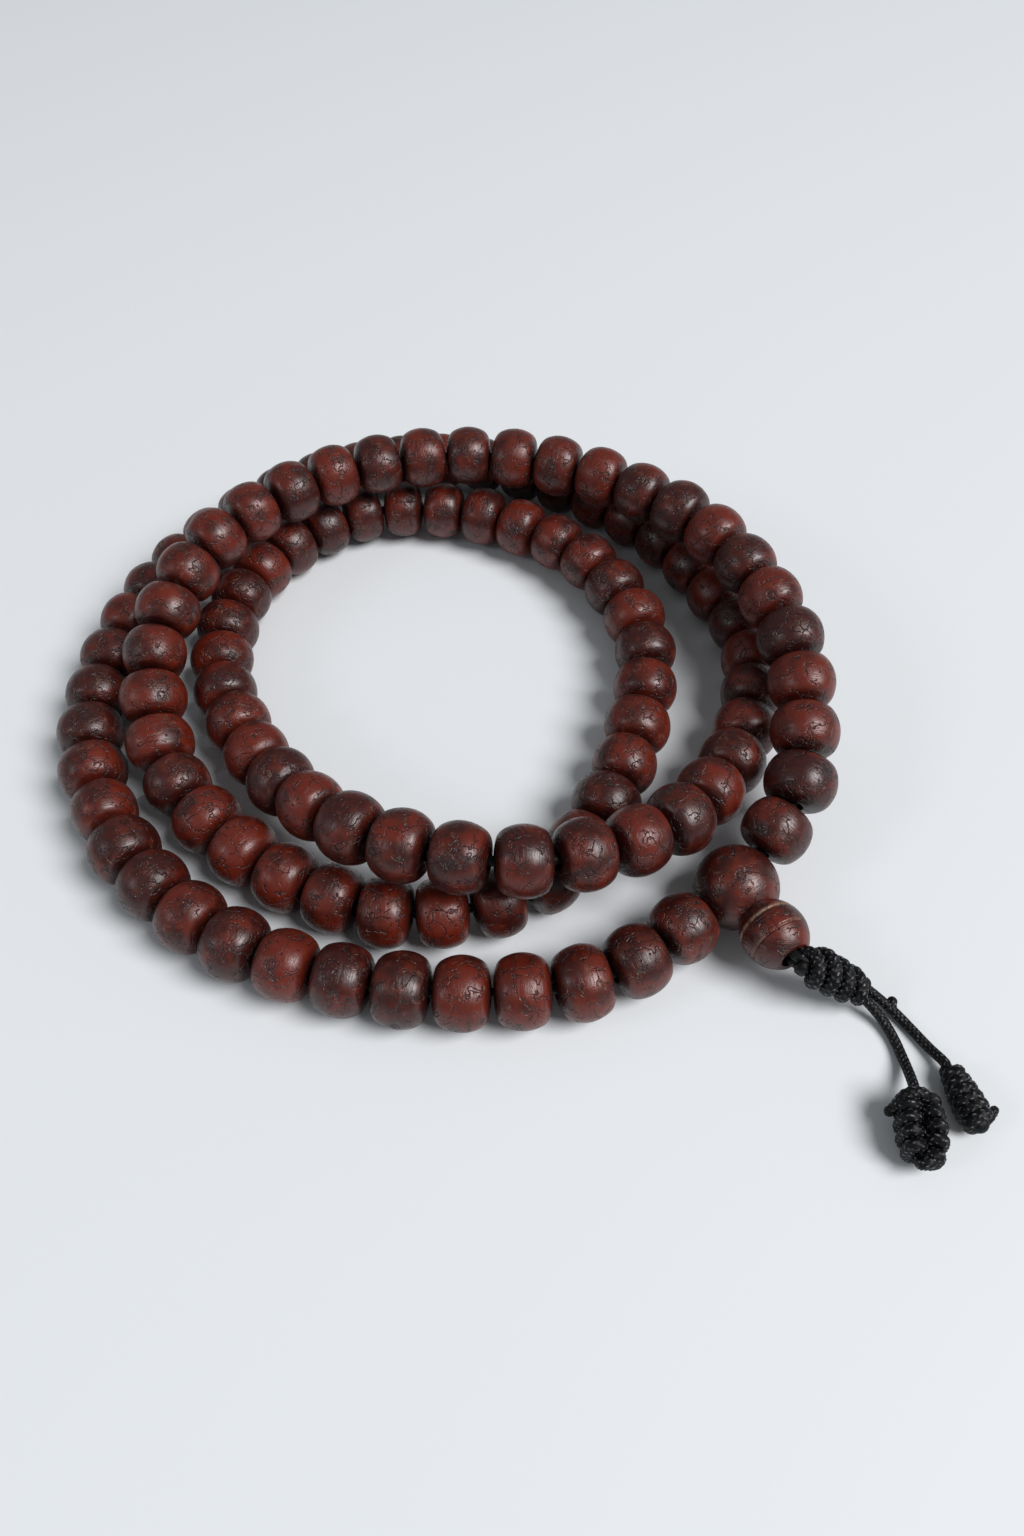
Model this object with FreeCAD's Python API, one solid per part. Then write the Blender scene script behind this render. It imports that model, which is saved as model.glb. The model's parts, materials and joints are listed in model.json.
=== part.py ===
"""A mala of 108 old drilled seeds, laid on a table in three loose turns.

The strand starts and ends in a larger three-hole guru bead.  Below the guru bead hang a
barrel-shaped tower bead, a wrapped cord knot and two cord tails with wound end knots.
Millimetres; +Z is up, z = 0 is the table, and the origin is the middle of the laid turns.
"""
import FreeCAD
import Part
import math
import os
from FreeCAD import Vector

# Seeds
SEED_COUNT = 108
SEED_DIAMETER = 11.0
SEED_BORE = 2.6
BELLY_RADIUS = 5.4          # curve of a seed's side, along the cord
SHOULDER_RADIUS = 2.2       # curve from its side to its end face
FACE_RADIUS = 14.0          # gentle crown of its end face
SEED_PLAY = 0.08            # free gap between two seeds

# Guru bead and tower bead
GURU_DIAMETER = 12.4
GURU_CENTRE = Vector(44, -41.5, GURU_DIAMETER / 2)
GURU_SIDE_BORE = 2.6
GURU_LOWER_BORE = 4.0
GURU_LOWER_FLARE = 5.8      # the lower hole at the bead's surface, where the cords swing
TOWER_DIAMETER = 9.4
TOWER_LENGTH = 8.1
TOWER_TOP_DIAMETER = 6.4
TOWER_FOOT_DIAMETER = 5.0
TOWER_BELLY = 0.45          # where the barrel is widest, as a share of its length
TOWER_BORE = 3.7
TOWER_GROOVES = ((0.27, 0.7, 0.25), (0.66, 0.35, 0.15))   # share of length, width, depth
TOWER_GAP = 0.15
PENDANT_HEADING = -64.0     # degrees from +X, seen from above
PENDANT_RISE = 7.0          # degrees that the stiff neck lifts the tower bead

# Wound knots: each is a row of turns, from the end nearest the guru bead
WRAPPED_KNOT_START = Vector(52.3, -54.8, 7.9)
WRAPPED_KNOT_END = Vector(60.0, -56.9, 3.3)
WRAPPED_KNOT_TURNS = (5.4, 5.3, 4.9, 4.4)
LEFT_KNOT_START = Vector(63.9, -70.9, 3.4)
LEFT_KNOT_END = Vector(62.9, -80.6, 3.5)
LEFT_KNOT_TURNS = (5.4, 6.6, 6.9, 6.6, 5.0)
RIGHT_KNOT_START = Vector(69.5, -66.8, 2.0)
RIGHT_KNOT_END = Vector(71.4, -75.5, 2.7)
RIGHT_KNOT_TURNS = (3.2, 3.8, 4.6, 4.9, 4.2)
TURN_CREASE = 0.3           # depth of the crease between two turns, as a share of their width

# Cord
CORD_DIAMETER = 1.5
CORD_END_IN_GURU = 1.2      # from the guru bead's centre to each end of the strand cord
NECK_START = 5.0            # from the guru bead's centre to the neck cords' ends
NECK_STRAIGHT = 0.8         # how far the neck cords run straight past the tower bead
NECK_IN_KNOT = 0.8          # and how far they aim into the wrapped knot
ARC_SHARE = 0.45            # share of the shorter run that a corner's arc takes

# The strand's route: from the guru bead round three turns and back to it.
STRAND_CORNERS = [
    # first turn: over the right-hand side and the back, then down to the table in front
    (55.5, -28, 12), (57.5, -3.5, 17), (49, 20.5, 17.5), (31, 38.5, 16), (7, 47, 15.5),
    (-18.5, 41.5, 16.5), (-39.5, 24.5, 16.5), (-47, 2, 12.5), (-42.5, -20, 7),
    (-26.5, -36, 5.5), (-5.5, -46, 5.5), (17.5, -41.5, 5.5),
    # second turn: the inner loop, then up over the first turn in front
    (30.5, -19, 5.5), (36.5, 7, 6), (27, 29, 6), (6, 42.5, 5.5), (-17.5, 43.5, 5.5),
    (-35, 26.5, 5.5), (-38, 3, 6), (-27.5, -19.5, 8.5), (-10.5, -37.5, 15),
    (13, -45, 17.5), (35.5, -36, 12.5),
    # third turn: under the first at the right and the back, and the outer loop in front
    (49, -16, 6.5), (54, 6.5, 5.5), (44, 30, 5.5), (25.5, 49, 5.5), (2, 58.5, 5.5),
    (-22.5, 54.5, 5.5), (-43, 39, 5.5), (-54.5, 16, 5.5), (-57.5, -10.5, 5.5),
    (-46.5, -34.5, 5.5), (-27, -50.5, 5.5), (-2, -57.5, 5.5), (24.5, -56.5, 5.5),
]

# The two tails leave the wrapped knot side by side and part on the table.
LEFT_TAIL_CORNERS = [(60.1, -57.8, 3.0), (62.1, -59.4, 1.5), (63.5, -62.1, 0.8),
                     (64.1, -65.1, 0.8), (64.2, -68.1, 1.9), (63.9, -70.9, 3.4)]
RIGHT_TAIL_CORNERS = [(60.7, -56.2, 3.0), (62.9, -57.4, 1.6), (64.9, -59.2, 0.8),
                      (66.6, -61.8, 0.8), (68.1, -64.3, 1.0), (69.5, -66.8, 2.0)]
NECK_CORD_OFFSET = Vector(0, 0, 0.88)   # the two neck cords lie one above the other
STUB_PLACE = Vector(64.0, -58.5, 1.2)   # a cut end beside the right tail
STUB_DIRECTION = Vector(0.15, 0.9, 0.35)
STUB_LENGTH = 1.4
OVERRUN = 1.0               # how far a drilling tool runs past a bead's surface
VOLUME_ERROR = 0.01         # the most that a tube's volume may be off

# Old seeds differ in thickness: relative space that the seeds take on the cord.
SEED_SPACING = [(1, 8.45), (15, 8.4), (28, 8.1), (38, 8.15), (45, 7.8), (53, 7.7), (63, 8.75),
                (71, 8.15), (80, 8.2), (96, 8.25), (108, 8.35)]

# Seeds with a node of their own: the uppermost ones and those in front.
FREE_SEEDS = list(range(2, 28)) + list(range(60, 71)) + list(range(98, 108))
SEED_GROUPS = {
    "seeds_first_turn": range(1, 36),
    "seeds_second_turn": range(36, 81),
    "seeds_third_turn": range(81, 109),
}


class Route:
    """Straight runs joined by tangent arcs, through a list of corner points."""

    def __init__(self, corners):
        points = [Vector(*corner) for corner in corners]
        self.pieces = []
        start = points[0]
        for before, corner, after in zip(points, points[1:], points[2:]):
            run_in = corner - before
            run_out = after - corner
            turn = run_in.getAngle(run_out)
            reach = ARC_SHARE * min(run_in.Length, run_out.Length)
            radius = reach / math.tan(turn / 2)
            direction_in = Vector(run_in).normalize()
            direction_out = Vector(run_out).normalize()
            arc_start = corner - direction_in * reach
            inward = (direction_out - direction_in).normalize()
            centre = corner + inward * (radius / math.cos(turn / 2))
            self.add_line(start, arc_start)
            self.pieces.append(("arc", arc_start, direction_in, radius * turn, centre, radius))
            start = corner + direction_out * reach
        self.add_line(start, points[-1])
        self.length = sum(piece[3] for piece in self.pieces)
        self.radii = [round(piece[5], 1) for piece in self.pieces if piece[0] == "arc"]

    def add_line(self, start, end):
        run = end - start
        self.pieces.append(("line", start, Vector(run).normalize(), run.Length))

    def at(self, distance):
        """The point and the direction at a distance along the route."""
        for piece in self.pieces:
            if distance <= piece[3] or piece is self.pieces[-1]:
                break
            distance -= piece[3]
        return point_on(piece, distance)

    def wire(self):
        edges = []
        for piece in self.pieces:
            start = piece[1]
            end = point_on(piece, piece[3])[0]
            if piece[0] == "line":
                edges.append(Part.LineSegment(start, end).toShape())
            else:
                middle = point_on(piece, piece[3] / 2)[0]
                edges.append(Part.Arc(start, middle, end).toShape())
        return Part.Wire(edges)


def point_on(piece, distance):
    start, direction = piece[1], piece[2]
    if piece[0] == "line":
        return start + direction * distance, direction
    centre, radius = piece[4], piece[5]
    outward = (start - centre).normalize()
    angle = distance / radius
    point = centre + outward * (radius * math.cos(angle)) + direction * (radius * math.sin(angle))
    return point, direction * math.cos(angle) - outward * math.sin(angle)


def cord_tube(route, diameter=CORD_DIAMETER):
    start, direction = route.at(0)
    section = Part.Wire(Part.makeCircle(diameter / 2, start, direction))
    tube = route.wire().makePipeShell([section], True, False)
    expected = math.pi * diameter ** 2 / 4 * route.length
    error = abs(tube.Volume / expected - 1)
    if error > VOLUME_ERROR or not tube.isValid():
        raise ValueError("cord tube is wrong: volume off by %.3f" % error)
    return tube


def placed(shape, centre, direction):
    """The shape, made around the Z axis, moved to a centre with its axis along direction."""
    turn = FreeCAD.Rotation(Vector(0, 0, 1), direction)
    shape.Placement = FreeCAD.Placement(centre, turn)
    return shape


def turned(edges):
    """A solid of revolution around the Z axis from edges in the XZ plane."""
    face = Part.Face(Part.Wire(edges))
    return face.revolve(Vector(0, 0, 0), Vector(0, 0, 1), 360)


def line(start, end):
    return Part.LineSegment(Vector(start[0], 0, start[1]), Vector(end[0], 0, end[1])).toShape()


def arc(start, middle, end):
    points = [Vector(x, 0, z) for x, z in (start, middle, end)]
    return Part.Arc(*points).toShape()


# Seeds

def seed_arcs(length):
    """Centres of the tangent arcs of a seed's half section: belly, shoulder and end face."""
    belly = Vector(SEED_DIAMETER / 2 - BELLY_RADIUS, 0, 0)
    face = Vector(0, 0, length / 2 - FACE_RADIUS)
    from_belly = BELLY_RADIUS - SHOULDER_RADIUS
    from_face = FACE_RADIUS - SHOULDER_RADIUS
    between = face - belly
    along = (from_belly ** 2 - from_face ** 2 + between.Length ** 2) / (2 * between.Length)
    across = math.sqrt(from_belly ** 2 - along ** 2)
    between.normalize()
    shoulder = belly + between * along + Vector(-between.z, 0, between.x) * across
    return belly, shoulder, face


def seed(length):
    belly, shoulder, face = seed_arcs(length)
    bore = SEED_BORE / 2
    from_belly = (shoulder - belly).normalize()
    from_face = (shoulder - face).normalize()
    side = belly + from_belly * BELLY_RADIUS
    corner = shoulder + (from_belly + from_face).normalize() * SHOULDER_RADIUS
    end = face + from_face * FACE_RADIUS
    rim = math.sqrt(FACE_RADIUS ** 2 - bore ** 2) + face.z
    crown_x = (bore + end.x) / 2
    crown = math.sqrt(FACE_RADIUS ** 2 - crown_x ** 2) + face.z
    return turned([
        arc((bore, -rim), (crown_x, -crown), (end.x, -end.z)),
        arc((end.x, -end.z), (corner.x, -corner.z), (side.x, -side.z)),
        arc((side.x, -side.z), (SEED_DIAMETER / 2, 0), (side.x, side.z)),
        arc((side.x, side.z), (corner.x, corner.z), (end.x, end.z)),
        arc((end.x, end.z), (crown_x, crown), (bore, rim)),
        line((bore, rim), (bore, -rim)),
    ])


def spacing_share(number):
    """Relative space of one seed, read between the listed seeds."""
    for (first, low), (last, high) in zip(SEED_SPACING, SEED_SPACING[1:]):
        if number <= last:
            return low + (high - low) * (number - first) / (last - first)
    return SEED_SPACING[-1][1]


def threaded_seeds(route):
    """(centre, direction, length) of each seed, so that the seeds fill the route."""
    end_gap = GURU_DIAMETER / 2 + SEED_SPACING[0][1] / 2
    shares = [spacing_share(number + 0.5) for number in range(1, SEED_COUNT)]
    scale = (route.length + 2 * CORD_END_IN_GURU - 2 * end_gap) / sum(shares)
    distance = end_gap - CORD_END_IN_GURU
    places = []
    for step in [share * scale for share in shares] + [0]:
        centre, direction = route.at(distance)
        centre.z = max(centre.z, SEED_DIAMETER / 2)
        places.append((centre, direction))
        distance += step
    seeds = []
    for index, (centre, direction) in enumerate(places):
        rooms = [room_beside(places[index], places[other])
                 for other in (index - 1, index + 1) if 0 <= other < SEED_COUNT]
        seeds.append((centre, direction, 2 * min(rooms)))
    return seeds


def room_beside(place, neighbour):
    """Half the length that a seed may have so that its crowned face clears a neighbour's."""
    lean = place[1].getAngle(neighbour[1]) / 2
    room = ((neighbour[0] - place[0]).Length - SEED_PLAY) / 2
    return FACE_RADIUS - (FACE_RADIUS - room) / math.cos(lean)


# Guru bead, tower bead and what hangs below

def guru_bead(strand, pendant_direction):
    """A ball with two bores for the strand's ends and a wider, flared one for the pendant."""
    radius = GURU_DIAMETER / 2
    bead = Part.makeSphere(radius, GURU_CENTRE)
    leaves = strand.at(0)[1]
    returns = strand.at(strand.length)[1] * -1
    for direction in (leaves, returns):
        bead = bead.cut(Part.makeCylinder(GURU_SIDE_BORE / 2, radius + OVERRUN, GURU_CENTRE,
                                          direction))
    lower = Part.makeCylinder(GURU_LOWER_BORE / 2, radius + OVERRUN, GURU_CENTRE,
                              pendant_direction)
    flare_start = NECK_START - CORD_DIAMETER / 2
    flare = Part.makeCone(GURU_LOWER_BORE / 2, GURU_LOWER_FLARE / 2,
                          radius + OVERRUN - flare_start,
                          GURU_CENTRE + pendant_direction * flare_start, pendant_direction)
    return bead.cut(lower.fuse(flare))


def tower_bead(top, direction):
    """A barrel with a cupped top that follows the guru bead and two natural grooves."""
    half = TOWER_DIAMETER / 2
    bore = TOWER_BORE / 2
    top_radius = TOWER_TOP_DIAMETER / 2
    foot_radius = TOWER_FOOT_DIAMETER / 2
    barrel = turned([
        line((bore, 0), (top_radius, 0)),
        arc((top_radius, 0), (half, TOWER_LENGTH * TOWER_BELLY), (foot_radius, TOWER_LENGTH)),
        line((foot_radius, TOWER_LENGTH), (bore, TOWER_LENGTH)),
        line((bore, TOWER_LENGTH), (bore, 0)),
    ])
    for share, width, depth in TOWER_GROOVES:
        z = TOWER_LENGTH * share
        surface = barrel_radius_at(barrel, z)
        ring = Part.makeTorus(surface - depth + width / 2, width / 2, Vector(0, 0, z))
        barrel = barrel.cut(ring)
    bead = placed(barrel, top, direction)
    cup = Part.makeSphere(GURU_DIAMETER / 2 + TOWER_GAP, GURU_CENTRE)
    return bead.cut(cup)


def barrel_radius_at(barrel, z):
    probe = Part.makeLine(Vector(0, 0, z), Vector(TOWER_DIAMETER, 0, z))
    return barrel.common(probe).BoundBox.XMax


def wound_knot(start, end, turn_diameters):
    """The outer shape of a cord wound round itself: a row of rounded turns."""
    axis = end - start
    width = axis.Length / len(turn_diameters)
    crease = width * TURN_CREASE
    radii = [diameter / 2 for diameter in turn_diameters]
    valleys = [radii[0] - crease]
    valleys += [min(pair) - crease for pair in zip(radii, radii[1:])]
    valleys.append(radii[-1] - crease)
    edges = [line((0, 0), (valleys[0], 0))]
    for index, radius in enumerate(radii):
        low = index * width
        edges.append(arc((valleys[index], low), (radius, low + width / 2),
                         (valleys[index + 1], low + width)))
    edges.append(line((valleys[-1], axis.Length), (0, axis.Length)))
    edges.append(line((0, axis.Length), (0, 0)))
    return placed(turned(edges), start, axis)


def neck_cords(pendant_direction, foot, knot):
    """Two cords side by side, from inside the guru bead through the tower bead."""
    into_knot = (WRAPPED_KNOT_END - WRAPPED_KNOT_START).normalize() * NECK_IN_KNOT
    cords = []
    for side in (1, -1):
        offset = NECK_CORD_OFFSET * side
        corners = [GURU_CENTRE + pendant_direction * NECK_START + offset,
                   foot + pendant_direction * NECK_STRAIGHT + offset,
                   WRAPPED_KNOT_START + into_knot + offset]
        cords.append(cord_tube(Route(corners)).cut(knot))
    return Part.Compound(cords)


def cord_stub(tail):
    """A short cut end of cord that stands beside the right tail."""
    stub = Part.makeCylinder(CORD_DIAMETER / 2, STUB_LENGTH, STUB_PLACE, STUB_DIRECTION)
    return stub.cut(tail)


def heading(degrees, rise):
    around = math.radians(degrees)
    up = math.radians(rise)
    return Vector(math.cos(up) * math.cos(around), math.cos(up) * math.sin(around), math.sin(up))


def strand_route():
    """From one side of the guru bead's centre, round the three turns, to the other side."""
    corners = [Vector(*corner) for corner in STRAND_CORNERS]
    start = Vector(corners[0] - GURU_CENTRE).normalize() * CORD_END_IN_GURU
    end = Vector(corners[-1] - GURU_CENTRE).normalize() * CORD_END_IN_GURU
    return Route([GURU_CENTRE + start] + corners + [GURU_CENTRE + end])


def build():
    route = strand_route()
    pendant_direction = heading(PENDANT_HEADING, PENDANT_RISE)
    cup_reach = math.sqrt((GURU_DIAMETER / 2 + TOWER_GAP) ** 2 - (TOWER_TOP_DIAMETER / 2) ** 2)
    tower_top = GURU_CENTRE + pendant_direction * cup_reach
    tower_foot = tower_top + pendant_direction * TOWER_LENGTH
    left_route = Route(LEFT_TAIL_CORNERS)
    right_route = Route(RIGHT_TAIL_CORNERS)
    for name, cord in (("strand", route), ("left tail", left_route), ("right tail", right_route)):
        print("%s: length %.1f mm, arc radii %s" % (name, cord.length, cord.radii))
    left_tail = cord_tube(left_route)
    right_tail = cord_tube(right_route)
    left_knot = wound_knot(LEFT_KNOT_START, LEFT_KNOT_END, LEFT_KNOT_TURNS)
    right_knot = wound_knot(RIGHT_KNOT_START, RIGHT_KNOT_END, RIGHT_KNOT_TURNS)
    wrapped_knot = wound_knot(WRAPPED_KNOT_START, WRAPPED_KNOT_END, WRAPPED_KNOT_TURNS)
    nodes = {
        "strand_cord": cord_tube(route),
        "guru_bead": guru_bead(route, pendant_direction),
        "tower_bead": tower_bead(tower_top, pendant_direction),
        "neck_cords": neck_cords(pendant_direction, tower_foot, wrapped_knot),
        "wrapped_knot": wrapped_knot,
        "left_tail": left_tail.cut(left_knot),
        "left_end_knot": left_knot,
        "right_tail": right_tail.cut(right_knot),
        "right_end_knot": right_knot,
        "cord_stub": cord_stub(right_tail),
    }
    seeds = [placed(seed(length), centre, direction)
             for centre, direction, length in threaded_seeds(route)]
    for number in FREE_SEEDS:
        nodes["seed_%03d" % number] = seeds[number - 1]
    for name, numbers in SEED_GROUPS.items():
        fixed = [seeds[number - 1] for number in numbers if number not in FREE_SEEDS]
        nodes[name] = Part.Compound(fixed)
    return nodes


def main():
    os.makedirs("parts", exist_ok=True)
    for name, shape in build().items():
        shape.exportStep("parts/%s.step" % name)
        print("%-20s solids %3d  volume %9.2f mm3" % (name, len(shape.Solids), shape.Volume))


main()
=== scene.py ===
"""A mala of 108 old drilled seeds on a pale table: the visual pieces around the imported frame.

Lengths in the shape code are millimetres; MM turns them into the frame's metres.
"""
import json
import math

import bpy
import numpy as np
from mathutils import Matrix, Vector


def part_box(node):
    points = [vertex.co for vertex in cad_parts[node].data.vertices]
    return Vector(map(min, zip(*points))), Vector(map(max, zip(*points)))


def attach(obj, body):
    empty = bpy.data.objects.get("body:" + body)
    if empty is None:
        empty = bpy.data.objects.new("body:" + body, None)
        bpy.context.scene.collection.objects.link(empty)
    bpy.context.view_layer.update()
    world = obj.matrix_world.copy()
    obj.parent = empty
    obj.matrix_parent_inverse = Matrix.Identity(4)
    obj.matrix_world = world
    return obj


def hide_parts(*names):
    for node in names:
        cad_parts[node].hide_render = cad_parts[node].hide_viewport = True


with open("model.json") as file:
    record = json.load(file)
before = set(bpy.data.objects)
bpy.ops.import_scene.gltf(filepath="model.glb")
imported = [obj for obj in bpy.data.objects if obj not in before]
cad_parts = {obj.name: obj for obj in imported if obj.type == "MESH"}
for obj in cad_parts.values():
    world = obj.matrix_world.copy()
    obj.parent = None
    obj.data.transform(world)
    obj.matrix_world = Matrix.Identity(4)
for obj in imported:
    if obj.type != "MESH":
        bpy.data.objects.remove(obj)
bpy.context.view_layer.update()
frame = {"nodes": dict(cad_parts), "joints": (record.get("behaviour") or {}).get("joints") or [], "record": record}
MM = 0.001
rng = np.random.default_rng(108)

# Camera
CAMERA_PLACE = (0.012, -0.123, 0.14481)
CAMERA_DOWN = 53.22         # degrees below the horizon
CAMERA_ROLL = -0.931
CAMERA_LENS = 25.99

# Cord: its routes repeat the CAD model's
CORD = 1.5
LEFT_TAIL = [(60.1, -57.8, 3.0), (62.1, -59.4, 1.5), (63.5, -62.1, 0.8), (64.1, -65.1, 0.8),
             (64.2, -68.1, 1.9), (63.9, -70.9, 3.4)]
RIGHT_TAIL = [(60.7, -56.2, 3.0), (62.9, -57.4, 1.6), (64.9, -59.2, 0.8), (66.6, -61.8, 0.8),
              (68.1, -64.3, 1.0), (69.5, -66.8, 2.0)]
WRAPPED_KNOT = ((52.3, -54.8, 7.9), (60.0, -56.9, 3.3))
LEFT_KNOT = ((63.9, -70.9, 3.4), (62.9, -80.6, 3.5))
RIGHT_KNOT = ((69.5, -66.8, 2.0), (71.4, -75.5, 2.7))
STUB = ((64.0, -58.5, 1.2), (64.2, -57.5, 1.6))

# Windings: pitch, begin and the (along, across, height) places are along or beside a knot's axis
STEPS_PER_TURN = 12         # corner points in one turn
CORNER_GAIN = 1.03          # a spline runs this much inside the corners of a turn

LEFT_CORD = 1.85            # the cord spreads where it is wound tight
LEFT_DIAMETERS = (4.8, 6.2, 6.6, 6.3, 4.2)
LEFT_DEPTH = ((0, 0.2, 0.8, 1), (0.6, 0.95, 0.95, 0.5))   # shares of the length, of the reach
LEFT_SIDE_GAIN = 1.05
LEFT_PITCH = 1.75
LEFT_BEGIN = 9.2
LEFT_TURNS = 4.5
LEFT_CORE = ((2.2, 0.2, -0.2), (4.6, 0.3, -0.5), (7.0, 0.2, -0.4), (8.9, 0.9, 0.2),
             (9.5, 0.2, 0.9), (9.4, -0.9, 0.1))
LEFT_CUT_END = ((1.15, 0.8, 1.7), (0.95, -0.6, 2.0), (1.3, -1.8, 1.7), (2.0, -2.6, 0.9),
                (2.6, -3.1, 0.2), (3.0, -3.7, 0.0))
LEFT_END_WIDTHS = [CORD * 1.1, CORD]

RIGHT_CORD = 2.0
RIGHT_DIAMETERS = (3.1, 3.8, 4.6, 4.9, 4.3)
RIGHT_PITCH = 1.25
RIGHT_BEGIN = 0.7
RIGHT_TURNS = 6.2
RIGHT_CUT_END = ((8.1, 1.4, 0.6), (7.8, 2.0, 0.4), (7.4, 2.6, 0.3))
RIGHT_END_WIDTHS = [CORD, CORD * 0.85]
RIGHT_CORE = ((1.2, 0, 0), (4.5, 0, 0.1), (8.2, 0, 0))
RIGHT_CORE_WIDTHS = [2.0, 3.2, 3.0]

WRAPPED_REACH = ((-0.2, 0.0, 0.12, 0.5, 0.85, 1.0), (1.0, 1.55, 2.0, 1.85, 1.6, 0.8))
WRAPPED_WIDTHS = ((-0.2, 0.1, 0.9, 1.0), (2.0, 2.35, 2.2, 1.5))
WRAPPED_PITCH = 4.9
WRAPPED_BEGIN = -1.6        # the first turns are tucked into the tower bead
WRAPPED_TURNS = 2.1

# Braid of the cord
BRAID_AROUND = 5            # strands of each family round the cord
BRAID_CELL = 0.75           # length of one crossing
BRAID_DEPTH = 0.2           # as a share of the cord's radius
BRAID_LEVEL = 0.65          # mean height of a family, and how much it rises over the other
BRAID_RISE = 0.35
RING = 30
RING_STEP = 0.125
DOME_SHARES = (0.35, 0.65, 0.88, 0.98)     # how far out the rings of a rounded end are
DOME_RELIEF = 0.5
TUBE_SIDE = (0.3, 0.2, 1.0)                # a direction that no cord starts along

# Seeds: the section repeats the CAD model's
SEED_RADIUS = 5.5
SEED_BORE_RADIUS = 1.3
BELLY_RADIUS = 5.4
SHOULDER_RADIUS = 2.2
FACE_RADIUS = 14.0
RIM_WIDTH = 0.2             # worn edge of the bore: where it starts, its first step, its depth
RIM_STEP = (0.15, 0.07)
RIM_DEPTH = 0.4
SEED_AROUND = 64
BELLY_POINTS = 8
SHOULDER_POINTS = 9
FACE_POINTS = 5

# Uneven growth, as shares of a seed's radius
WIDTH_RANGE = (0.965, 1.0)
OVAL = 0.065
DENT_WAVES = 5
DENT_WAVE = 0.42            # spread of the waves' numbers, in radians a millimetre
DENT_PHASES = 6.3
DENT_SHARE = 0.2            # share of each wave in a dent
DENT = 0.021
EVEN_BORE = (0.3, 2.5)      # the bore stays round: distance from it, and width of the change
EYE_DEPTH = 0.022
EYE_SIZE = 0.9
EYE_TO_BELLY = 0.5          # eyes lie nearer the belly than the end faces
EYE_INSET = 0.15
EYE_NARROWING = 0.04
OWN_TURNS = 6.28
SKIN_SPREAD = 90            # how far apart seeds lie in the skin's pattern

# Floor and light
FLOOR_REACH = 2000
FLOOR_COLOUR = (0.765, 0.795, 0.82, 1)
FLOOR_ROUGH = 0.55
FLOOR_SPECULAR = 0.3
KEY_LIGHT = ((1.6, -0.72, 2.16), 1.6, 82.0, (1.0, 0.99, 0.99))     # place, size, power, colour
FILL_LIGHT = ((-0.9, -0.35, 0.7), 0.35, 1.3, (0.9, 0.95, 1.0))
ROOM_COLOUR = (0.95, 0.98, 1.0, 1)
ROOM_STRENGTH = 0.2


# Camera

camera = bpy.data.objects.new("camera", bpy.data.cameras.new("camera"))
bpy.context.scene.collection.objects.link(camera)
bpy.context.scene.camera = camera
camera.data.lens = CAMERA_LENS
camera.data.clip_start = 0.01
camera.matrix_world = (Matrix.Translation(CAMERA_PLACE)
                       @ Matrix.Rotation(math.radians(90 - CAMERA_DOWN), 4, "X")
                       @ Matrix.Rotation(math.radians(CAMERA_ROLL), 4, "Z"))


# Meshes

def add_mesh(name, points, faces, attributes=()):
    """A smooth mesh object from points in millimetres; attributes are (name, values)."""
    mesh = bpy.data.meshes.new(name)
    mesh.from_pydata((np.asarray(points) * MM).tolist(), [], [list(f) for f in faces])
    mesh.shade_smooth()
    for title, values in attributes:
        values = np.asarray(values, np.float32)
        if values.ndim == 1:
            mesh.attributes.new(title, "FLOAT", "POINT").data.foreach_set("value", values)
        else:
            mesh.attributes.new(title, "FLOAT_VECTOR", "POINT").data.foreach_set(
                "vector", values.ravel())
    piece = bpy.data.objects.new(name, mesh)
    bpy.context.scene.collection.objects.link(piece)
    return piece


def ring_quads(rows, around, closed=False):
    """Faces between rows of points that each go round; closed joins the last row to the first."""
    i, j = np.meshgrid(np.arange(rows if closed else rows - 1), np.arange(around), indexing="ij")
    k = (j + 1) % around
    after = (i + 1) % rows
    return np.stack([i * around + j, i * around + k, after * around + k, after * around + j],
                    -1).reshape(-1, 4)


def spline_line(corners):
    """Points, in millimetres, of the smooth NURBS spline whose control points are given."""
    curve = bpy.data.curves.new("line", "CURVE")
    curve.dimensions = "3D"
    spline = curve.splines.new("NURBS")
    spline.points.add(len(corners) - 1)
    for point, corner in zip(spline.points, corners):
        point.co = (*corner, 1)
    spline.order_u = 3
    spline.use_endpoint_u = True
    spline.resolution_u = 8
    holder = bpy.data.objects.new("line", curve)
    mesh = bpy.data.meshes.new_from_object(holder)
    line = np.array([vertex.co for vertex in mesh.vertices])
    bpy.data.objects.remove(holder)
    bpy.data.curves.remove(curve)
    bpy.data.meshes.remove(mesh)
    return line


def spaced(line, values, step):
    """The line, the distance along it and its per-point values again, at even steps."""
    along = np.concatenate([[0], np.cumsum(np.linalg.norm(np.diff(line, axis=0), axis=1))])
    at = np.linspace(0, along[-1], int(along[-1] / step) + 2)
    points = np.stack([np.interp(at, along, line[:, k]) for k in range(3)], axis=1)
    return points, at, np.interp(at, along, values)


def braid_height(along, around):
    """Height from 0 to 1 of two families of strands that cross over and under."""
    p = BRAID_AROUND * around / (2 * math.pi)
    q = along / BRAID_CELL
    over = BRAID_RISE * np.cos(2 * math.pi * p)
    first = np.abs(np.cos(math.pi * (p + q))) * (BRAID_LEVEL + over)
    second = np.abs(np.cos(math.pi * (p - q))) * (BRAID_LEVEL - over)
    return np.maximum(first, second)


def carried_sides(tangents):
    """A direction across the line at each point, carried along without twist."""
    side = np.cross(tangents[0], TUBE_SIDE)
    sides = []
    for tangent in tangents:
        side = side - tangent * (side @ tangent)
        side /= np.linalg.norm(side)
        sides.append(side)
    return np.array(sides)


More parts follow.
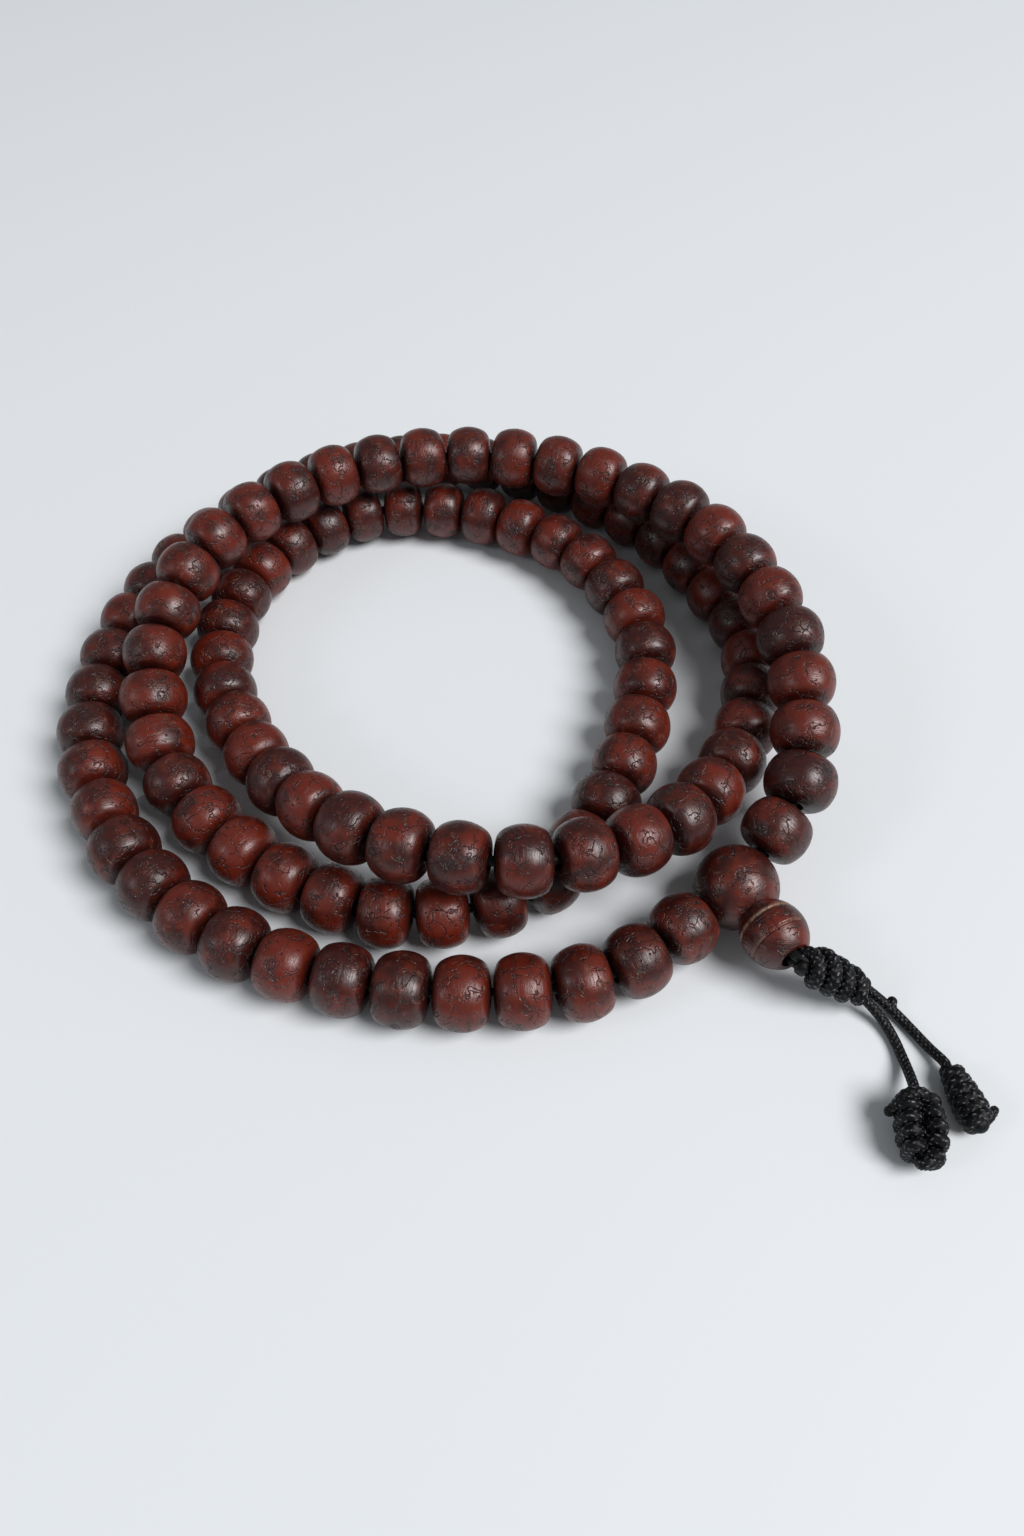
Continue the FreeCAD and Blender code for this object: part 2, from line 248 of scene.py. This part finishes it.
def braided_tube(name, corners, widths):
    """A braided cord along the spline through the corners, and its line in metres.

    The widths are spread evenly over the cord.
    """
    line = spline_line(corners)
    widths = np.interp(np.linspace(0, 1, len(line)), np.linspace(0, 1, len(widths)), widths)
    points, along, widths = spaced(line, widths, RING_STEP)
    tangents = np.gradient(points, axis=0)
    tangents /= np.linalg.norm(tangents, axis=1)[:, None]
    sides = carried_sides(tangents)
    ups = np.cross(tangents, sides)
    around = np.arange(RING) * 2 * math.pi / RING
    height = braid_height(along[:, None], around[None, :])
    radius = widths[:, None] / 2 * (1 - BRAID_DEPTH * (1 - height))
    outward = (np.cos(around)[None, :, None] * sides[:, None]
               + np.sin(around)[None, :, None] * ups[:, None])
    rings = points[:, None] + radius[..., None] * outward

    def dome(k, sign):
        return [points[k] + sign * tangents[k] * widths[k] / 2 * share
                + (rings[k] - points[k]) * math.sqrt(1 - share * share) for share in DOME_SHARES]

    rows = np.concatenate([dome(0, -1)[::-1], rings, dome(-1, 1)])
    flat = np.full((len(DOME_SHARES), RING), DOME_RELIEF)
    heights = np.concatenate([flat, height, flat])
    last = (len(rows) - 1) * RING
    faces = ring_quads(len(rows), RING).tolist()
    faces += [list(range(RING))[::-1], list(range(last, last + RING))]
    piece = add_mesh(name, rows.reshape(-1, 3), faces, [("relief", heights.ravel())])
    return piece, points * MM


# Knots

def knot_axes(ends):
    """A knot's start, its axis, the directions across it and upwards, and its length."""
    start, end = Vector(ends[0]), Vector(ends[1])
    axis = (end - start).normalized()
    side = Vector((0, 0, 1)).cross(axis).normalized()
    return start, axis, side, axis.cross(side), (end - start).length


def knot_points(ends, places):
    """Points at (along, across, height) places of a knot."""
    start, axis, side, up, _ = knot_axes(ends)
    return [start + axis * along + side * across + up * height
            for along, across, height in places]


def reach_in(diameters, share, width):
    """How far out a cord's middle lies, at a share of the length of a knot of these diameters."""
    at = share * (len(diameters) - 1)
    return float(np.interp(at, range(len(diameters)), diameters)) / 2 - width / 2


def figure_eight(ends):
    """Corner points of cord that winds in a figure of eight up the left end knot."""
    start, axis, side, up, length = knot_axes(ends)
    corners = []
    for step in range(int(LEFT_TURNS * STEPS_PER_TURN) + 1):
        angle = step * 2 * math.pi / STEPS_PER_TURN
        along = LEFT_BEGIN - LEFT_PITCH * step / STEPS_PER_TURN
        reach = reach_in(LEFT_DIAMETERS, along / length, LEFT_CORD)
        depth = reach * float(np.interp(along / length, *LEFT_DEPTH))
        corners.append(start + axis * along + side * reach * LEFT_SIDE_GAIN * math.sin(angle)
                       - up * depth * math.sin(2 * angle))
    return corners


def wound(ends, reach, pitch, begin, turns, phase):
    """Corner points of cord wound round a knot's axis, and each one's share of its length.

    reach is a function of that share.
    """
    start, axis, side, up, length = knot_axes(ends)
    corners, shares = [], []
    for step in range(int(turns * STEPS_PER_TURN) + 1):
        angle = phase + step * 2 * math.pi / STEPS_PER_TURN
        along = begin + pitch * step / STEPS_PER_TURN
        outward = side * math.cos(angle) + up * math.sin(angle)
        corners.append(start + axis * along + outward * reach(along / length) * CORNER_GAIN)
        shares.append(along / length)
    return corners, shares


def knotted_widths(corners, tail, wide, end_widths):
    """Widths of a cord that is thin in its tail, wide in its knot and thin at its cut end."""
    return ([CORD] * len(tail) + [wide] * (len(corners) - len(tail) - len(end_widths))
            + end_widths)


# Left tail: down through its end knot, then wound upwards round itself to a cut end at the left.
left_corners = ([Vector(corner) for corner in LEFT_TAIL]
                + knot_points(LEFT_KNOT, LEFT_CORE)
                + figure_eight(LEFT_KNOT)[1:]
                + knot_points(LEFT_KNOT, LEFT_CUT_END))
left_tail, left_line = braided_tube("left_tail_cord", left_corners, knotted_widths(
    left_corners, LEFT_TAIL, LEFT_CORD, LEFT_END_WIDTHS))

# Right tail: wound downwards round a core of its own to a cut end at the right.
right_wound, _ = wound(RIGHT_KNOT, lambda share: reach_in(RIGHT_DIAMETERS, share, RIGHT_CORD),
                       RIGHT_PITCH, RIGHT_BEGIN, RIGHT_TURNS, math.pi)
right_corners = ([Vector(corner) for corner in RIGHT_TAIL]
                 + right_wound[1:]
                 + knot_points(RIGHT_KNOT, RIGHT_CUT_END))
right_tail, right_line = braided_tube("right_tail_cord", right_corners, knotted_widths(
    right_corners, RIGHT_TAIL, RIGHT_CORD, RIGHT_END_WIDTHS))
right_core, _ = braided_tube("right_knot_core", knot_points(RIGHT_KNOT, RIGHT_CORE),
                             RIGHT_CORE_WIDTHS)
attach(right_core, "right_tail")
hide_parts("right_end_knot")

for piece, line, body, nodes in (
        (left_tail, left_line, "left_tail", ("left_tail", "left_end_knot")),
        (right_tail, right_line, "right_tail", ("right_tail", "right_end_knot"))):
    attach(piece, body)
    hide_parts(*nodes)
    length = float(np.linalg.norm(np.diff(line, axis=0), axis=1).sum())

stub, _ = braided_tube("stub_cord", STUB, [CORD, CORD])
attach(stub, "right_tail")
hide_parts("cord_stub")

# The wrapped knot: two cords wound round each other below the tower bead.
wrapped_strands = []
for number, phase in ((1, 0.0), (2, math.pi)):
    corners, shares = wound(WRAPPED_KNOT, lambda share: float(np.interp(share, *WRAPPED_REACH)),
                            WRAPPED_PITCH, WRAPPED_BEGIN, WRAPPED_TURNS, phase)
    strand, _ = braided_tube("wrapped_knot_strand_%d" % number, corners,
                             np.interp(shares, *WRAPPED_WIDTHS))
    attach(strand, "pendant")
    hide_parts("wrapped_knot")
    wrapped_strands.append(strand)


# Materials

class Nodes:
    """A short way to write a node tree."""

    def __init__(self, name):
        self.material = bpy.data.materials.new(name)
        self.material.use_nodes = True
        self.tree = self.material.node_tree
        self.tree.nodes.clear()

    def add(self, kind, inputs=None, **settings):
        node = self.tree.nodes.new(kind)
        for title, value in settings.items():
            setattr(node, title, value)
        for title, value in (inputs or {}).items():
            self.put(node.inputs[title], value)
        return node

    def put(self, socket, value):
        if isinstance(value, bpy.types.NodeSocket):
            self.tree.links.new(value, socket)
        else:
            socket.default_value = value

    def attribute(self, name, output):
        return self.add("ShaderNodeAttribute", attribute_name=name).outputs[output]

    def math(self, operation, *values):
        node = self.add("ShaderNodeMath", operation=operation)
        for socket, value in zip(node.inputs, values):
            self.put(socket, value)
        return node.outputs[0]

    def plus(self, first, second):
        return self.math("ADD", first, second)

    def minus(self, first, second):
        return self.math("SUBTRACT", first, second)

    def times(self, first, second):
        return self.math("MULTIPLY", first, second)

    def vector(self, operation, *values):
        node = self.add("ShaderNodeVectorMath", operation=operation)
        for socket, value in zip(node.inputs, values):
            self.put(socket, value)
        return node.outputs["Value" if operation in ("DISTANCE", "DOT_PRODUCT") else "Vector"]

    def ramp(self, value, low, high):
        """0 at low, 1 at high, smooth between."""
        node = self.add("ShaderNodeMapRange", {"Value": value, "From Min": low,
                                               "From Max": high},
                        interpolation_type="SMOOTHSTEP")
        return node.outputs["Result"]

    def fall(self, value, low, high):
        """1 at low, 0 at high, smooth between."""
        return self.minus(1.0, self.ramp(value, low, high))

    def noise(self, where, scale, detail=3.0, rough=0.5, distortion=0.0, output="Fac"):
        node = self.add("ShaderNodeTexNoise", {"Vector": where, "Scale": scale,
                                               "Detail": detail, "Roughness": rough,
                                               "Distortion": distortion})
        return node.outputs[output]

    def mix(self, share, first, second):
        node = self.add("ShaderNodeMix", {"Factor": share}, data_type="RGBA")
        # the node has sockets of each name for every data type
        for title, value in (("A", first), ("B", second)):
            self.put(next(s for s in node.inputs if s.name == title and s.type == "RGBA"), value)
        return next(s for s in node.outputs if s.type == "RGBA")

    def finish(self, bump=(), **inputs):
        """The material, with the shader's inputs and a bump of (height, strength, distance)."""
        shader = self.add("ShaderNodeBsdfPrincipled", inputs)
        if bump:
            node = self.add("ShaderNodeBump", dict(zip(("Height", "Strength", "Distance"), bump)))
            self.tree.links.new(node.outputs[0], shader.inputs["Normal"])
        out = self.add("ShaderNodeOutputMaterial")
        self.tree.links.new(shader.outputs[0], out.inputs["Surface"])
        return self.material


def rgb(red, green, blue):
    """A linear colour from one as screens show it, 0 to 255."""
    def linear(value):
        value /= 255
        return value / 12.92 if value <= 0.04045 else ((value + 0.055) / 1.055) ** 2.4
    return (linear(red), linear(green), linear(blue), 1)


PLUM = rgb(52, 13, 8)
RED_BROWN = rgb(98, 29, 14)
ORANGE_BROWN = rgb(118, 48, 25)
SPECK = rgb(40, 14, 13)
CRACK = rgb(24, 9, 9)
DUST = rgb(140, 96, 76)
# painted shade for the seeds' ends, where they press against their neighbours
SEED_END_SHADE = rgb(26, 9, 9)
GRAIN = rgb(30, 10, 10)
SCRATCH = rgb(150, 98, 78)
PIT = rgb(20, 8, 8)
HALO = rgb(40, 18, 20)
MARK = rgb(22, 9, 9)
GROOVE = rgb(138, 108, 88)
SKIN_ROUGH = 0.25
SKIN_SPECULAR = 0.55
SKIN_RELIEF = 0.00012       # depth of the bump, in metres
CORD_BLACK = rgb(5, 5, 7)
# painted glints: a pale colour for the tops of the braid
CORD_PAINTED_GLINT = rgb(120, 122, 128)
CORD_ROUGH = 0.5
CORD_SPECULAR = 0.22
CORD_RELIEF = 0.00006

# The guru and tower beads: place in the skin's pattern, tone from 0 to 1, and place of the eye
BEAD_SHIFT = (31.0, 7.0, 3.0)
BEAD_TONE = 0.35
BEAD_EYE = (-0.6, -1.6, 5.9)
DUST_ELSEWHERE = (17.0, 5.0, 9.0)   # so that dusty cracks and dark ones lie in other patches
TOWER_GROOVES = ((-1.9, 0.4, 0.55), (1.3, 0.22, 0.4))   # place from the middle, width, strength


def cracks(n, place):
    """Fine wavy cracks in patches: dark ones, and pale, dusty ones."""
    bend = n.noise(place, 0.9, 2.0, output="Color")
    bent = n.vector("ADD", place, n.vector("MULTIPLY", bend, (2.2, 2.2, 2.2)))
    cells = n.add("ShaderNodeTexVoronoi", {"Vector": bent, "Scale": 0.42},
                  feature="DISTANCE_TO_EDGE").outputs["Distance"]
    line = n.fall(cells, 0.0, 0.06)
    elsewhere = n.vector("ADD", place, DUST_ELSEWHERE)
    dark = n.times(line, n.ramp(n.noise(place, 0.42, 1.0), 0.44, 0.52))
    dusty = n.times(line, n.ramp(n.noise(elsewhere, 0.5, 1.0), 0.58, 0.66))
    return dark, n.times(dusty, 0.3)


def round_grain(n, place):
    """Grain that runs round the seed."""
    stretched = n.vector("MULTIPLY", place, (0.4, 0.4, 4.5))
    return n.ramp(n.noise(stretched, 1.0, 4.0, 0.7, 0.4), 0.5, 0.68)


def scratches(n, place):
    """Short scratches along one direction."""
    stretched = n.vector("MULTIPLY", place, (0.5, 2.6, 2.6))
    return n.ramp(n.noise(stretched, 1.5, 4.0, 0.7), 0.64, 0.72)


def small_pits(n, place):
    """Pits in the middle of some cells of a pattern."""
    cells = n.add("ShaderNodeTexVoronoi", {"Vector": place, "Scale": 0.85, "Randomness": 1.0},
                  feature="F1")
    lot = n.add("ShaderNodeSeparateColor", {"Color": cells.outputs["Color"]}).outputs[0]
    return n.times(n.fall(cells.outputs["Distance"], 0.08, 0.2),
                   n.math("GREATER_THAN", lot, 0.62))


def eye_mark(n, place, local, eye):
    """The eye, a small ring with short rays, and the halo round it."""
    wobble = n.vector("MULTIPLY", n.vector("SUBTRACT", n.noise(place, 1.6, 2.0, output="Color"),
                                           (0.5, 0.5, 0.5)), (0.9, 0.9, 0.9))
    away = n.vector("DISTANCE", n.vector("ADD", local, wobble), eye)
    ring = n.times(n.ramp(away, 0.35, 0.55), n.fall(away, 0.6, 0.85))
    halo = n.fall(away, 0.7, 1.9)
    rays = n.times(halo, n.ramp(n.noise(place, 3.2, 1.0), 0.55, 0.62))
    return n.math("MAXIMUM", ring, n.times(rays, 0.8)), halo


def seed_material(name, centre=None, axis=None, grooves=()):
    """Old polished seed. Own pieces carry their coordinates; a CAD node has its centre."""
    n = Nodes(name)
    if centre is None:
        local, shift = n.attribute("local", "Vector"), n.attribute("shift", "Vector")
        tone, eye = n.attribute("tone", "Fac"), n.attribute("eye", "Vector")
    else:
        where = n.add("ShaderNodeTexCoord").outputs["Object"]
        from_centre = n.vector("SUBTRACT", where, tuple(c * MM for c in centre))
        local = n.add("ShaderNodeVectorMath", {"Vector": from_centre, "Scale": 1 / MM},
                      operation="SCALE").outputs[0]
        shift, tone, eye = BEAD_SHIFT, BEAD_TONE, BEAD_EYE
    place = n.vector("ADD", local, shift)
    broad = n.noise(place, 0.22, 2.0)
    middle = n.noise(place, 0.75, 4.0, 0.6)
    fine = n.noise(place, 5.5, 3.0, 0.65)
    dark_crack, dusty_crack = cracks(n, place)
    grain = round_grain(n, place)
    scratch = scratches(n, place)
    pit = small_pits(n, place)
    mark, halo = eye_mark(n, place, local, eye)

    # Colour: plum and red brown in soft patches, then each layer of (where, how much, colour)
    patch = n.ramp(n.plus(broad, n.times(n.minus(tone, 0.5), 0.3)), 0.36, 0.66)
    colour = n.mix(patch, PLUM, RED_BROWN)
    layers = [(n.ramp(middle, 0.45, 0.8), 0.4, ORANGE_BROWN), (n.ramp(fine, 0.5, 0.8), 0.35, SPECK),
              (dark_crack, 0.8, CRACK), (dusty_crack, 1.0, DUST)]
    if centre is None:
        towards_bore = n.math("ABSOLUTE", n.add("ShaderNodeSeparateXYZ",
                                                {"Vector": local}).outputs["Z"])
        # painted shade: the ends near the bore are darkened where the seeds press against their neighbours
        layers.append((n.ramp(towards_bore, 2.9, 4.0), 0.6, SEED_END_SHADE))
    layers += [(grain, 0.45, GRAIN), (scratch, 0.35, SCRATCH), (pit, 0.75, PIT),
               (halo, 0.3, HALO), (mark, 0.7, MARK)]

    # Depth: each hollow and its share
    depth = 0.0
    for hollow, share in ((dark_crack, 0.8), (pit, 1.0), (mark, 0.8), (dusty_crack, 0.5),
                          (scratch, 0.25), (grain, 0.12)):
        depth = n.plus(depth, n.times(hollow, share))

    if grooves:
        level = n.plus(n.vector("DOT_PRODUCT", local, tuple(axis)),
                       n.times(n.minus(middle, 0.5), 0.5))
        broken = n.ramp(n.noise(place, 0.8, 3.0), 0.36, 0.5)
    for place_on, width, strength in grooves:
        near = n.fall(n.math("ABSOLUTE", n.minus(level, place_on)), width * 0.4, width)
        groove = n.times(near, n.times(broken, strength))
        layers.append((groove, 1.0, GROOVE))
        depth = n.plus(depth, groove)

    for where_on, share, over in layers:
        colour = n.mix(n.times(where_on, share), colour, over)
    surface = n.plus(n.minus(n.times(middle, 0.35), depth), n.times(fine, 0.05))
    rough = n.plus(n.plus(SKIN_ROUGH, n.times(n.noise(place, 1.1, 3.0), 0.16)),
                   n.times(depth, 0.2))
    return n.finish((surface, 1.0, SKIN_RELIEF), **{
        "Base Color": colour, "Roughness": rough, "Specular IOR Level": SKIN_SPECULAR})


def cord_material(name, braided):
    """Black waxed nylon, with painted glints on the tops of the braid. Own pieces carry the braid's height; CAD
    nodes get a fine bump.
    """
    n = Nodes(name)
    where = n.add("ShaderNodeTexCoord").outputs["Object"]
    speck = n.noise(where, 2600.0, 2.0, 0.6)
    if braided:
        height = n.attribute("relief", "Fac")
    else:
        cells = n.add("ShaderNodeTexVoronoi", {"Vector": where, "Scale": 1500.0})
        height = n.minus(1.0, cells.outputs["Distance"])
    # painted glints: specks on the tops of the braid are coloured pale
    glint_spots = n.times(n.ramp(height, 0.7, 0.97), n.ramp(speck, 0.42, 0.62))
    colour = n.mix(glint_spots, CORD_BLACK, CORD_PAINTED_GLINT)
    rough = n.minus(CORD_ROUGH, n.times(glint_spots, 0.2))
    surface = n.plus(n.times(height, 0.5), n.times(speck, 0.6))
    return n.finish((surface, 0.7, CORD_RELIEF), **{
        "Base Color": colour, "Roughness": rough, "Specular IOR Level": CORD_SPECULAR})


def paint(piece, material):
    piece.data.materials.clear()
    piece.data.materials.append(material)


SEED = seed_material("old_seed")
BRAID = cord_material("braided_cord", True)
PLAIN_CORD = cord_material("inner_cord", False)
for piece in (left_tail, right_tail, right_core, stub, *wrapped_strands):
    paint(piece, BRAID)
for node in ("strand_cord", "neck_cords"):
    paint(frame["nodes"][node], PLAIN_CORD)


# Seeds: each one is its own lathe-turned, slightly uneven piece on its CAD seed's place

def mesh_arrays(name):
    """Points, in millimetres, and triangles of a CAD node."""
    mesh = frame["nodes"][name].data
    mesh.calc_loop_triangles()
    points = np.empty(len(mesh.vertices) * 3, np.float32)
    mesh.vertices.foreach_get("co", points)
    triangles = np.empty(len(mesh.loop_triangles) * 3, np.int32)
    mesh.loop_triangles.foreach_get("vertices", triangles)
    return points.reshape(-1, 3).astype(float) / MM, triangles.reshape(-1, 3)


def solid_numbers(points, triangles):
    """The number of the solid that each triangle belongs to: those that share points are one."""
    _, same = np.unique(np.round(points, 3), axis=0, return_inverse=True)
    linked = same.reshape(-1)[triangles]
    label = np.arange(linked.max() + 1)
    while True:
        low = label[linked].min(axis=1)
        lower = label.copy()
        for k in range(3):
            np.minimum.at(lower, linked[:, k], low)
        lower = lower[lower]
        if (lower == label).all():
            return label[linked[:, 0]]
        label = lower


def solids_of(name):
    """(centre, axis, length) of each separate solid of revolution in a CAD node."""
    points, triangles = mesh_arrays(name)
    numbers = solid_numbers(points, triangles)
    found = []
    for number in np.unique(numbers):
        corners = points[triangles[numbers == number]]
        middle = corners.mean(axis=1)
        area = np.linalg.norm(np.cross(corners[:, 1] - corners[:, 0],
                                       corners[:, 2] - corners[:, 0]), axis=1)
        centre = (middle * area[:, None]).sum(axis=0) / area.sum()
        away = middle - centre
        values, vectors = np.linalg.eigh((away * area[:, None]).T @ away / area.sum())
        # two directions spread alike; the axis is the third
        axis = vectors[:, 0] if values[1] - values[0] > values[2] - values[1] else vectors[:, 2]
        reach = (corners.reshape(-1, 3) - centre) @ axis
        found.append((centre, axis, reach.max() - reach.min()))
    return found


def seed_outline(length):
    """Radius and height of points round one half section, from bore to bore."""
    belly = np.array((SEED_RADIUS - BELLY_RADIUS, 0))
    crown = FACE_RADIUS - math.sqrt(FACE_RADIUS ** 2 - SEED_BORE_RADIUS ** 2)
    face = np.array((0, length / 2 + crown - FACE_RADIUS))
    from_belly, from_face = BELLY_RADIUS - SHOULDER_RADIUS, FACE_RADIUS - SHOULDER_RADIUS
    between = face - belly
    span = float(np.linalg.norm(between))
    between /= span
    along = (from_belly ** 2 - from_face ** 2 + span ** 2) / (2 * span)
    shoulder = belly + between * along + np.array((-between[1], between[0])) * math.sqrt(
        from_belly ** 2 - along ** 2)

    def arc(centre, radius, start, stop, count):
        return [(centre[0] + radius * math.cos(a), centre[1] + radius * math.sin(a))
                for a in np.linspace(start, stop, count)]

    side = math.atan2(*(shoulder - belly)[::-1])
    end = math.atan2(*(shoulder - face)[::-1])
    rim = math.acos((SEED_BORE_RADIUS + RIM_WIDTH) / FACE_RADIUS)
    upper = arc(belly, BELLY_RADIUS, 0, side, BELLY_POINTS)[:-1]
    upper += arc(shoulder, SHOULDER_RADIUS, side, end, SHOULDER_POINTS)[:-1]
    upper += arc(face, FACE_RADIUS, end, rim, FACE_POINTS)
    x, z = upper[-1]
    upper += [(x - RIM_STEP[0], z - RIM_STEP[1]), (SEED_BORE_RADIUS, z - RIM_DEPTH)]
    return upper[::-1] + [(x, -z) for x, z in upper[1:]]


def seed_piece(name, centre, axis, length, body, node, width):
    outline = np.array(seed_outline(length))
    around = np.arange(SEED_AROUND) * 2 * math.pi / SEED_AROUND
    x = outline[:, 0][:, None] * np.cos(around)
    y = outline[:, 0][:, None] * np.sin(around)
    z = np.repeat(outline[:, 1][:, None], SEED_AROUND, axis=1)
    points = np.stack([x, y, z], axis=-1).reshape(-1, 3)

    # Uneven growth: slightly oval, with soft dents, never outside the CAD seed
    spin = rng.uniform(0, 2 * math.pi)
    oval = 1 - rng.uniform(0.0, OVAL) * np.cos(np.arctan2(points[:, 1], points[:, 0]) - spin) ** 2
    dents = np.zeros(len(points))
    for _ in range(DENT_WAVES):
        wave = rng.normal(0, DENT_WAVE, 3)
        dents += np.sin(points @ wave + rng.uniform(0, DENT_PHASES)) * DENT_SHARE
    eye = rng.normal(0, 1, 3)
    eye[2] *= EYE_TO_BELLY
    eye = eye / np.linalg.norm(eye) * (SEED_RADIUS - EYE_INSET)
    eye[:2] *= (1 - EYE_NARROWING * abs(eye[2]))
    near = np.exp(-((np.linalg.norm(points - eye, axis=1) / EYE_SIZE) ** 2))
    scale = oval * (1 - DENT * (1 + dents)) - EYE_DEPTH * near
    from_bore, change = EVEN_BORE
    radial = np.hypot(points[:, 0], points[:, 1])
    share = np.clip((radial - SEED_BORE_RADIUS - from_bore) / change, 0, 1)
    points[:, :2] *= (1 + (scale - 1) * share)[:, None]
    points[:, :2] *= width

    faces = ring_quads(len(outline), SEED_AROUND, closed=True)[:, ::-1].tolist()
    turn = Vector((0, 0, 1)).rotation_difference(Vector(axis)).to_matrix()
    # an own turn of each seed about its bore
    about = np.array(turn @ Matrix.Rotation(rng.uniform(0, OWN_TURNS), 3, "Z"))
    count = len(points)
    shift = rng.uniform(-SKIN_SPREAD, SKIN_SPREAD, 3)
    attributes = [("local", points), ("shift", np.tile(shift, (count, 1))),
                  ("tone", np.full(count, rng.uniform())), ("eye", np.tile(eye, (count, 1)))]
    piece = add_mesh(name, points @ about.T + centre, faces, attributes)
    paint(piece, SEED)
    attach(piece, body)
    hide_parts(node)


for body, nodes in frame["record"]["behaviour"]["bodies"].items():
    for node in nodes:
        if not node.startswith("seed"):
            continue
        solids = solids_of(node)
        for number, (centre, axis, length) in enumerate(solids):
            own = node + "_piece" + ("_%02d" % (number + 1) if len(solids) > 1 else "")
            seed_piece(own, centre, axis, length, body, node, rng.uniform(*WIDTH_RANGE))


# Guru bead and tower bead keep their CAD shape

def node_centre(name):
    low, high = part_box(name)
    return (low + high) / 2 / MM


tower_axis = next(j["axis"] for j in frame["joints"] if j["name"] == "tower_spin")
paint(frame["nodes"]["guru_bead"], seed_material("guru_seed", node_centre("guru_bead")))
paint(frame["nodes"]["tower_bead"], seed_material("tower_seed", node_centre("tower_bead"),
                                                  Vector(tower_axis), TOWER_GROOVES))


# Floor and light

floor = add_mesh("floor", [(x * FLOOR_REACH, y * FLOOR_REACH, 0)
                           for x, y in ((-1, -1), (1, -1), (1, 1), (-1, 1))], [(0, 1, 2, 3)])
paint(floor, Nodes("pale_floor").finish(**{
    "Base Color": FLOOR_COLOUR, "Roughness": FLOOR_ROUGH, "Specular IOR Level": FLOOR_SPECULAR}))


def area_light(name, place, size, power, colour):
    light = bpy.data.lights.new(name, "AREA")
    light.shape = "DISK"
    light.size = size
    light.energy = power
    light.color = colour
    lamp = bpy.data.objects.new(name, light)
    bpy.context.scene.collection.objects.link(lamp)
    lamp.location = place
    lamp.rotation_euler = Vector(place).to_track_quat("Z", "Y").to_euler()


area_light("key", *KEY_LIGHT)
area_light("fill", *FILL_LIGHT)
world = bpy.data.worlds.new("soft_room")
bpy.context.scene.world = world
world.use_nodes = True
room = world.node_tree.nodes["Background"].inputs
room["Color"].default_value = ROOM_COLOUR
room["Strength"].default_value = ROOM_STRENGTH
bpy.context.scene.view_settings.view_transform = "Standard"

bpy.context.view_layer.update()
